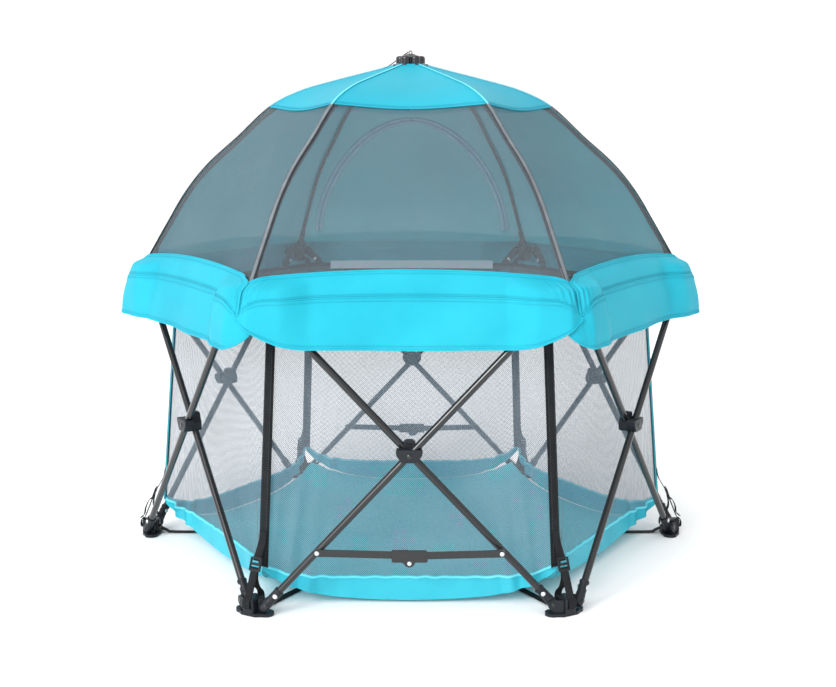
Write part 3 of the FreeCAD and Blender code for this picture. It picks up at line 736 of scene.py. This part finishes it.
def gather_share(arc):
    """How much of its width a gore keeps when folded, at this height."""
    r, z = PROFILE.at(arc)
    a = math.atan2(z - RIB_FOOT[1], RIB_FOOT[0] - r) + RIB_TURN
    reach = math.hypot(z - RIB_FOOT[1], RIB_FOOT[0] - r)
    folded_foot = FOLDED_SIDE - (SIDE - RIB_FOOT[0])
    rho = folded_foot - reach * math.cos(a)
    drop = 0.25 * r * math.cos(RIB_TURN)
    return min(1.0, max(0.12, (abs(rho) - drop) * TAN30 / (0.433 * r)))


def gore_of(k, side):
    """The gore's number, which is its panel's, for the half beside rib k."""
    return k if side > 0 else (k - 1) % 6


def rib_gather(obj, k, arc):
    ride_and_gather(obj, "rib_%d" % k, corner_side(k), (0, 0, 0), gather_share(arc))


def half_gore(kind, k, side, arcs, bands, material, out, replaced=None):
    """One half of a gore in bands. arcs(share) gives its two ends."""
    edges = np.linspace(0, 1, bands + 1)
    for band, (v0, v1) in enumerate(zip(edges, edges[1:])):
        def place(u, v):
            a0, a1 = arcs(u)
            return gore_place(k, side, u, a0 + (a1 - a0) * v, out)

        def flat(u, v):
            a0, a1 = arcs(u)
            arc = a0 + (a1 - a0) * v
            return (side * u * PROFILE.at(arc)[0] / 2, arc)

        us = np.linspace(0, 1, 15) if side > 0 else np.linspace(1, 0, 15)
        name = "%s_%d%s_%d" % (kind, gore_of(k, side), side_word(side), band)
        obj = surface(name, place, us, np.linspace(v0, v1, 13), material, flat)
        a0, a1 = arcs(0.5)
        rib_gather(obj, k, a0 + (a1 - a0) * (v0 + v1) / 2)
        declare_sheet(obj)
        if replaced and band == 0:
            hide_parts(replaced)


OVERLAP = 0.016         # how far the gores reach under the cap


def cap_sag(share):
    return 0.006 * math.sin(math.pi * share / 2) ** 2


def cap_edge(k, side, up, out):
    """A line along the cap's lower edge, a little up from it and out of the cloth."""
    return [gore_place(k, side, u, CAP_ARC - cap_sag(u) + up, out) for u in np.linspace(0, 1, 20)]


def build_canopy():
    for k in range(6):
        for side in (-1, 1):
            gore = gore_of(k, side)
            first = k == 0
            half_gore("cap", k, side, lambda u: (CAP_ARC - cap_sag(u), PROFILE.length), 2, CYAN_CAP,
                      0.0012, "canopy_cap" if first and side > 0 else None)
            front = gore in (3, 4, 5)
            half_gore("gore_net" if front else "gore_back", k, side, lambda u: (0.0, CAP_ARC + OVERLAP), 4,
                      CANOPY_NET if front else CYAN_BACK,
                      -0.0010, ("canopy_back" if side > 0 else "canopy_mesh") if first else None)
            hem = swept("cap_hem_%d%s" % (gore, side_word(side)), cap_edge(k, side, 0.0006, 0.0016),
                        (0, 0, 1), round_section(0.0016), CYAN_CAP)
            rib_gather(hem, k, CAP_ARC)
            out = direction(60 * k + 30 * side) * 0.5 + np.array([0, 0, 0.85])
            for row, up in enumerate((0.0060, 0.0095)):
                stitch = stitch_line("cap_stitch_%d%s_%d" % (gore, side_word(side), row),
                                     cap_edge(k, side, up, 0.0012), out, THREAD_CYAN)
                rib_gather(stitch, k, CAP_ARC)


NET_RIBS = (0, 3, 4, 5)     # the ribs beside a see-through gore


def rib_line(k, arcs, out, up, aside=0.0):
    """A line over rib k at these arcs, moved outwards, upwards and sideways."""
    return [at_corner(k, *(PROFILE.at(a) + np.array([out, up])), aside) for a in arcs]


def build_rib_seams():
    """The binding over each rib: grey with dark edges beside see-through gores, cyan elsewhere."""
    for k in range(6):
        tangent, rib = corner_side(k), "rib_%d" % k
        net = k in NET_RIBS
        lower = rib_line(k, np.linspace(0.004, CAP_ARC + 0.004, 70), 0.0014, 0.0010)
        strip = swept("seam_tape_%d" % k, lower, tangent, strap_section(0.0082, 0.0012),
                      BINDING if net else SEAM_CYAN)
        ride(strip, rib)
        for side in (-1, 1) if net else ():
            line = rib_line(k, np.linspace(0.004, CAP_ARC + 0.002, 70), 0.0008, 0.0004, side * 0.0046)
            cord = swept("seam_edge_%d%s" % (k, side_word(side)), line, tangent, round_section(0.0011),
                         BINDING_EDGE)
            ride(cord, rib)
        upper = rib_line(k, np.linspace(CAP_ARC - 0.002, PROFILE.length - 0.004, 60), 0.0008, 0.0022)
        seam = swept("cap_seam_%d" % k, upper, tangent, strap_section(0.0060, 0.0010), SEAM_CYAN)
        ride(seam, rib)


# ---------------- the door's zip
DOOR_HALF, DOOR_FOOT, DOOR_RISE = 0.270, 0.742, 0.320
ZIP_LAYERS = (("out", 0.022, 0.0004, 0.0010, ZIP_TAPE),         # name, width, place, thickness, look
              ("in", 0.022, -0.0024, -0.0010, ZIP_TAPE),
              ("coil", 0.0052, 0.0014, 0.0016, ZIP_COIL),
              ("coil_in", 0.0052, -0.0034, -0.0016, ZIP_COIL))


def door_line():
    """Half of the arch, from its foot to its top, as (offset from the gore's middle, arc up the dome)."""
    points = []
    heights = PROFILE.p[:, 1]
    for t in np.linspace(0, 1, 90) ** 0.75:
        z = DOOR_FOOT + DOOR_RISE * t
        w = DOOR_HALF * max(0.0, 1 - t ** 1.6) ** 0.55
        points.append((w, float(np.interp(z, heights, PROFILE.arc))))
    line = Curve(points, per=4)
    return np.array([line.at(s) for s in np.linspace(0, line.length, 160)])


def on_gore(k, side, w, arc, out):
    """A point on the gore beside rib k, from its offset w from the gore's middle."""
    half = PROFILE.at(arc)[0] / 2
    return gore_place(k, side, 1 - w / half, arc, out)


def door_ribbon(name, k, side, line, width, out, thick, material):
    """Tape laid on the rear gore along part of the arch."""
    ways = unit_rows(np.gradient(line, axis=0))
    squares = np.stack([-ways[:, 1], ways[:, 0]], axis=1)
    cols = [(-width / 2, 0.0), (-width / 2, thick), (-width / 6, thick * 1.2), (width / 6, thick * 1.2),
            (width / 2, thick), (width / 2, 0.0)]
    verts = []
    for p, q in zip(line, squares):
        for a, b in cols:
            w, arc = p + q * a
            verts.append(on_gore(k, side, max(w, 0.0), arc, out + b))
    obj = make_object(name, verts, grid_faces(len(line), len(cols)), material)
    run = run_length(line)
    add_flat(obj, np.array([(a, run[i]) for i in range(len(line)) for a, _ in cols]))
    return obj


def build_door():
    whole = door_line()
    cuts = np.linspace(0, CAP_ARC + OVERLAP, 5)
    first = True
    for k, side in ((REAR, 1), (REAR + 1, -1)):
        for band, (a0, a1) in enumerate(zip(cuts, cuts[1:])):
            inside = np.where((whole[:, 1] >= a0) & (whole[:, 1] <= a1 + 0.002))[0]
            if len(inside) < 3:
                continue
            line = whole[max(0, inside[0] - 1):inside[-1] + 1]
            for word, width, out, thick, look in ZIP_LAYERS:
                name = "door_zip_%s_%s%d" % (word, side_word(side), band)
                tape = door_ribbon(name, k, side, line, width, out, thick, look)
                rib_gather(tape, k, (a0 + a1) / 2)
                if first:
                    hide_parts("door_zip")
                    first = False
    w, arc = whole[2]
    for side, k in ((1, REAR), (-1, REAR + 1)):
        line = [on_gore(k, side, w, arc + d, 0.0040) for d in (0.016, 0.008, 0.0, -0.008, -0.018, -0.026)]
        pull = swept("zip_pull_%s" % side_word(side), line, panel_way(REAR), strap_section(0.009, 0.0026),
                     PLASTIC)
        rib_gather(pull, k, arc)


# ---------------- the skirt
SKIRT_TOP, SKIRT_SEAM, SKIRT_HEM = 0.563, 0.590, 0.615      # apothems
SEAM_END, LOBE_END, LOBE_START = 0.3395, 0.372, 0.300       # along the panel, from its middle
FLAP_LOW, LOBE_MIDDLE, LOBE_RISE = 0.5775, 0.612, 0.0345    # heights
TURN_FROM, TURN_RADIUS = 0.345, 0.060
FRONT_END = 0.3445


def skirt_top(x):
    a = abs(x)
    return 0.736 - 0.012 * (a / 0.27) ** 2 - 0.010 * max(0.0, (a - 0.29) / 0.04) ** 2


def skirt_seam(x):
    a = abs(x)
    return 0.683 - 0.008 * (a / 0.29) ** 2 - 0.028 * max(0.0, (a - 0.28) / 0.06) ** 2


def flap_low(x, cut_back):
    a = abs(x)
    if cut_back:
        return FLAP_LOW + 0.0620 * max(0.0, (a - 0.205) / 0.140) ** 1.7
    if a <= LOBE_START:
        return FLAP_LOW
    share = min(1.0, (a - LOBE_START) / (LOBE_END - LOBE_START))
    return LOBE_MIDDLE - LOBE_RISE * math.sqrt(1 - share ** 2)


def flap_high(x, cut_back):
    a = abs(x)
    if a <= SEAM_END:
        return skirt_seam(x)
    end = skirt_seam(SEAM_END)
    if cut_back:
        return end
    share = min(1.0, (a - SEAM_END) / (LOBE_END - SEAM_END))
    return LOBE_MIDDLE + (end - LOBE_MIDDLE) * math.sqrt(1 - share ** 2)


def round_corner(k, x, apothem, z):
    """A point of a flap, which turns round the corner past its straight stretch."""
    a = abs(x)
    if a <= TURN_FROM:
        return at_panel(k, x, apothem, z)
    phi = (a - TURN_FROM) / TURN_RADIUS
    along = TURN_FROM + TURN_RADIUS * math.sin(phi)
    return at_panel(k, math.copysign(along, x), apothem - TURN_RADIUS * (1 - math.cos(phi)), z)


def smooth(t):
    t = min(1.0, max(0.0, t))
    return t * t * (3 - 2 * t)


def skirt_bulge(x):
    """How far the skirt stands out near a corner, over the tube ends and their boots."""
    a = abs(x)
    return 0.031 * smooth((a - 0.195) / 0.06) - 0.011 * smooth((a - 0.310) / 0.03)


def skirt_band_place(k, s, v, out=0.0):
    """The sloping upper band. s is -1 and 1 on the corner seams, and v is 0 at the top."""
    apothem = SKIRT_TOP + (SKIRT_SEAM - SKIRT_TOP) * v
    half = apothem * TAN30
    x = s * half
    z = skirt_top(x) + (skirt_seam(x) - skirt_top(x)) * v
    near = max(0.0, 1 - (half - abs(x)) / 0.07)
    pleat = 0.0024 * near * math.sin(math.pi * v) * math.cos(2 * math.pi * (half - abs(x)) / 0.015 + 2 * v)
    puff = (0.0050 * math.sin(math.pi * v) * (1 - near)
            + 0.0012 * math.sin(21 * x + 2 * k) * math.sin(math.pi * v))
    early = 0.6 - 0.3 * near
    apothem += pleat + puff + out + skirt_bulge(x) * smooth(v / early)
    apothem += 0.011 * smooth((abs(s) - 0.86) / 0.1) * (1 - smooth(v / early))
    return at_panel(k, s * apothem * TAN30, apothem, z + 0.4 * (pleat + out))


def skirt_flap_place(k, x, v, out=0.0):
    """The hanging flap. v is 0 at its seam and 1 at its hem."""
    cut_back = k == FRONT
    top, low = flap_high(x, cut_back), flap_low(x, cut_back)
    z = top + (low - top) * v
    drop = min(1.0, max(0.0, (top - z) / 0.106))
    bulge = skirt_bulge(x)
    apothem = SKIRT_SEAM + (SKIRT_HEM - SKIRT_SEAM) * drop ** 0.9 + bulge * (1 - 0.45 * drop)
    swell = 0.0045 * math.sin(11 * x + 1.9 * k) + 0.0030 * math.sin(26 * x + k + 3 * drop)
    apothem += swell * drop * (1 - 0.35 * abs(x) / 0.34) + 0.0050 * math.sin(math.pi * drop)
    apothem += 0.008 * smooth((abs(x) - 0.27) / 0.1) * drop
    apothem += 0.003 * smooth((abs(x) - 0.20) / 0.14) if cut_back else -0.004 * smooth((abs(x) - 0.33) / 0.03)
    return round_corner(k, x * (1 + bulge / SKIRT_SEAM), apothem + out, z)


def skirt_ride(obj, k):
    ride_and_gather(obj, "top_%d" % k, panel_way(k), at_corner(k, SIDE, 0.0), PANEL_KEEP)


def build_skirt():
    for k in range(6):
        band = surface("skirt_band_%d" % k, lambda s, v: skirt_band_place(k, s, v), np.linspace(-1, 1, 121),
                       np.linspace(1, 0, 13), CYAN_CLOTH,
                       lambda s, v: (s * 0.33, 0.06 * (1 - v)))
        skirt_ride(band, k)
        declare_sheet(band)
        if k == 0:
            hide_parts("valance")
        end = FRONT_END if k == FRONT else LOBE_END - 0.0004
        xs = np.concatenate([np.linspace(-end, -0.27, 26)[:-1], np.linspace(-0.27, 0.27, 70),
                             np.linspace(0.27, end, 26)[1:]])
        cut_back = k == FRONT
        flap = surface("skirt_flap_%d" % k, lambda x, v: skirt_flap_place(k, x, v), xs, np.linspace(1, 0, 15),
                       CYAN_CLOTH,
                       lambda x, v: (x, flap_high(x, cut_back) * (1 - v) + flap_low(x, cut_back) * v))
        skirt_ride(flap, k)
        declare_sheet(flap)
        hem_line = [skirt_flap_place(k, x, 1.0) for x in xs]
        if not cut_back:
            left = [skirt_flap_place(k, x, 0.0) for x in xs if abs(x) > SEAM_END]
            count = len(left) // 2
            hem_line = left[:count][::-1] + hem_line + left[count:][::-1]
        top_line = [skirt_band_place(k, s, 0.0) for s in np.linspace(-1, 1, 81)]
        seam_line = [skirt_band_place(k, s, 1.0, 0.0008) for s in np.linspace(-0.995, 0.995, 81)]
        for name, line, across, section in (
                ("skirt_hem", hem_line, panel_out(k), round_section(0.0021)),
                ("skirt_top_edge", top_line, panel_out(k), round_section(0.0018)),
                ("skirt_seam", seam_line, (0, 0, 1), strap_section(0.0034, 0.0012))):
            skirt_ride(swept("%s_%d" % (name, k), line, across, section, CYAN_CLOTH), k)
        outward = panel_out(k) + np.array([0, 0, 0.3])
        rows = [[skirt_band_place(k, s, v, 0.0004) for s in np.linspace(-0.97, 0.97, 90)]
                for v in (0.11, 0.88, 0.95)]
        rows += [[skirt_flap_place(k, x, v, 0.0004) for x in np.linspace(-0.33, 0.33, 90)]
                 for v in (0.07, 0.93)]
        lines = [stitch_line("row_%d" % i, row, outward, THREAD_CYAN) for i, row in enumerate(rows)]
        skirt_ride(joined("skirt_stitches_%d" % k, lines), k)
        corner_seam = [skirt_band_place(k, -1.0, v, 0.0012) for v in np.linspace(0, 1, 16)]
        tape = swept("skirt_corner_seam_%d" % k, corner_seam, corner_side(k), strap_section(0.005, 0.0016),
                     CYAN_CLOTH)
        ride(tape, "top_%d" % k)


# ---------------- rivets and small hardware
def rivet_head(name, places, axis, radius, height, material):
    """Domed rivet heads with a shallow dimple, at places along an axis."""
    profile = [(0.0, 0.72), (0.22, 0.78), (0.42, 1.0), (0.68, 0.92), (0.90, 0.55), (1.0, 0.0)]
    sides = 20
    z = np.array(axis, float)
    x = np.cross(z, (0, 0, 1.0))
    x /= np.linalg.norm(x)
    y = np.cross(z, x)
    verts, faces = [], []
    for place in places:
        base = len(verts)
        verts.append(place + z * height * profile[0][1])
        for r, h in profile[1:]:
            for i in range(sides):
                a = 2 * math.pi * i / sides
                verts.append(place + (x * math.cos(a) + y * math.sin(a)) * radius * r + z * height * h)
        for i in range(sides):
            faces.append((base, base + 1 + i, base + 1 + (i + 1) % sides))
            for ring in range(len(profile) - 2):
                a, b = base + 1 + ring * sides, base + 1 + (ring + 1) * sides
                faces.append((a + i, b + i, b + (i + 1) % sides, a + (i + 1) % sides))
    return make_object(name, verts, faces, material)


class Tube:
    """A tube of panel k: where its axis runs."""

    def __init__(self, k, outer):
        self.k = k
        self.sign = 1 if outer else -1
        self.apothem = FACE + (LAYER if outer else -LAYER)

    def at(self, t, out=0.0):
        x = (-SIDE / 2 + INSET + t * math.cos(THETA)) * self.sign
        return at_panel(self.k, x, self.apothem + out, Z_LOW + t * math.sin(THETA))


BOOT_RIVET = 0.031      # from the pivot, along the boot
LOCK_RIVET = 0.163      # from the low pivot, along the tube


def build_rivets():
    for k in range(6):
        outward = panel_out(k)
        for outer, word in ((True, "outer"), (False, "inner")):
            tube = Tube(k, outer)
            spots = [BOOT_RIVET, TUBE_LEN - BOOT_RIVET]
            for face, sign in (("front", 1), ("back", -1)):
                places = [tube.at(t, sign * 0.0098) for t in spots]
                heads = rivet_head("boot_rivets_%s_%s_%d" % (word, face, k), places, outward * sign, 0.0054,
                                   0.0020, STEEL)
                ride(heads, "%s_tube_%d" % (word, k))
    for k, word in ((FRONT, "front"), (REAR, "rear")):
        outward = panel_out(k)
        a, b = Tube(k, True).at(LOCK_RIVET), Tube(k, False).at(LOCK_RIVET)
        for name, body, x, z, face in (("a", "outer_tube_%d" % k, -1, a[2], 0.0222),
                                       ("b", "inner_tube_%d" % k, 1, b[2], 0.0266)):
            along = (SIDE / 2 - INSET - LOCK_RIVET * math.cos(THETA)) * x
            head = rivet_head("lock_rivet_%s_%s" % (word, name), [at_panel(k, along, FACE + face, z)],
                              outward, 0.0052, 0.0020, STEEL)
            ride(head, body)
        knee = at_panel(k, 0.0, FACE + 0.0286, a[2] - 0.020)
        head = rivet_head("lock_knee_rivet_%s" % word, [knee], outward, 0.0050, 0.0020, STEEL)
        ride(head, "lock_%s_b" % word)


# ---------------- the draw cord
CORD_AZIMUTH = 150.0
CORD_ROUTE = [(0.0069, 1.2130), (0.0400, 1.1938), (0.0700, 1.1765), (0.1040, 1.1686), (0.1370, 1.1584)]


def build_cord():
    data = bpy.data.curves.new("draw_cord_line", "CURVE")
    data.dimensions = "3D"
    spline = data.splines.new("NURBS")
    spline.points.add(len(CORD_ROUTE) - 1)
    out = direction(CORD_AZIMUTH)
    points = [out * r + np.array([0, 0, z]) for r, z in CORD_ROUTE]
    for point, p in zip(spline.points, points):
        point.co = (*map(float, p), 1.0)
    spline.order_u = 3
    spline.use_endpoint_u = True
    data.bevel_depth = 0.0013
    data.bevel_resolution = 4
    data.materials.append(CORD)
    cord = add_object("draw_cord_line", data)
    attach(cord, "crown")
    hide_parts("draw_cord")
    length = float(sum(np.linalg.norm(b - a) for a, b in zip(points, points[1:])))
    tuple(map(float, points[0]))


# ---------------- studio
def area_light(name, place, target, size, power):
    data = bpy.data.lights.new(name, "AREA")
    data.shape = "RECTANGLE"
    data.size, data.size_y = size
    data.energy = power
    light = add_object(name, data)
    light.location = place
    light.rotation_euler = (Vector(target) - Vector(place)).to_track_quat("-Z", "Y").to_euler()


def build_studio():
    world = bpy.data.worlds.new("studio")
    world.use_nodes = True
    background = world.node_tree.nodes["Background"]
    background.inputs[0].default_value = (1.0, 1.0, 1.0, 1.0)
    background.inputs[1].default_value = 1.06
    bpy.context.scene.world = world
    mat, _, shader = start_material("pale_floor", 0.9)
    shader.inputs["Base Color"].default_value = (0.98, 0.98, 0.98, 1.0)
    shader.inputs["Specular IOR Level"].default_value = 0.1
    floor = make_object("studio_floor", [(-12, -12, 0), (12, -12, 0), (12, 16, 0), (-12, 16, 0)],
                        [(0, 1, 2, 3)], mat, smooth=False)
    area_light("key", (-2.2, -3.4, 2.2), (0, 0, 0.6), (1.1, 1.1), 60)
    area_light("top", (-0.6, 0.2, 3.6), (0, 0, 0.4), (2.0, 2.0), 14)
    sun = bpy.data.lights.new("wide_key", "SUN")
    sun.energy, sun.angle = 1.7, math.radians(50)
    sun_direction = Vector((-0.50, -0.85, 0.55))
    add_object("wide_key", sun).rotation_euler = sun_direction.to_track_quat("Z", "Y").to_euler()
    camera_data = bpy.data.cameras.new("camera")
    camera_data.lens = 56.19
    camera_data.sensor_width = 36.0
    camera = add_object("camera", camera_data)
    camera.location = (0.01816, -3.25135, 1.00484)
    camera.rotation_euler = (math.radians(90 - 8.93), 0.0, 0.0)
    bpy.context.scene.camera = camera
    bpy.context.scene.view_settings.view_transform = "Standard"


dress_cad_nodes()
build_studio()
build_tub()
build_floor()
build_corner_webbing()
build_straps()
build_canopy()
build_rib_seams()
build_door()
build_skirt()
build_rivets()
build_cord()
